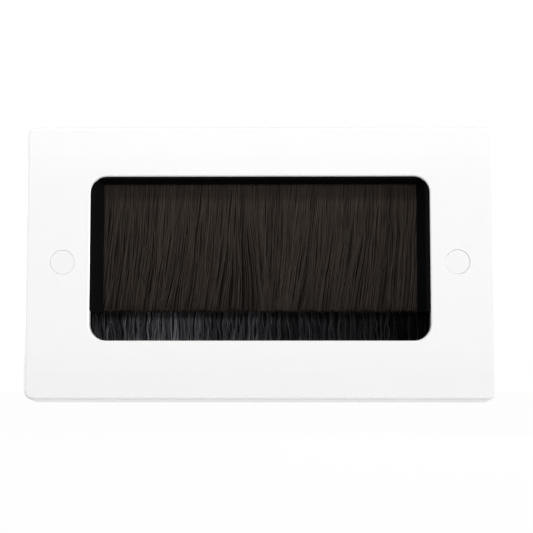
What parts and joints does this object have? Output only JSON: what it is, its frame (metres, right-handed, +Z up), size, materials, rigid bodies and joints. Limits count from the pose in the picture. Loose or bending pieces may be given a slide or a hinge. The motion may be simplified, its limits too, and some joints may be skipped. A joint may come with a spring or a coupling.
{
  "type": "brush cable entry plate",
  "caption": "Wide white wall plate whose framed aperture is closed by two overlapping bristle curtains that part round cables passing into a wall box.",
  "frame": {"origin": "midway between the two fixing holes, on the wall plane at the back of the plate's rim", "axes": "+X to the right along the plate, +Y into the wall, +Z up"},
  "size_m": [0.146, 0.0188, 0.086],
  "materials": {
    "white_plate": "smooth gloss white moulding",
    "white_cap": "smooth gloss white moulding",
    "black_frame": "fine satin black moulding",
    "front_bristle": "brown-black nylon filaments with a soft sheen along their length",
    "rear_bristle": "blue-black nylon filaments, glossier and wavy",
    "channel_steel": "zinc-plated folded steel",
    "wire_steel": "drawn steel wire",
    "screw_steel": "zinc-plated steel"
  },
  "bodies": {
    "root": {"face_plate": "white_plate", "screw_cap_left": "white_cap", "screw_cap_right": "white_cap", "front_frame": "black_frame", "rear_frame": "black_frame", "upper_channel": "channel_steel", "upper_core_wire": "wire_steel", "upper_bristles": "front_bristle", "lower_channel": "channel_steel", "lower_core_wire": "wire_steel", "lower_bristles": "rear_bristle", "frame_screws": "screw_steel"}
  },
  "joints": []
}
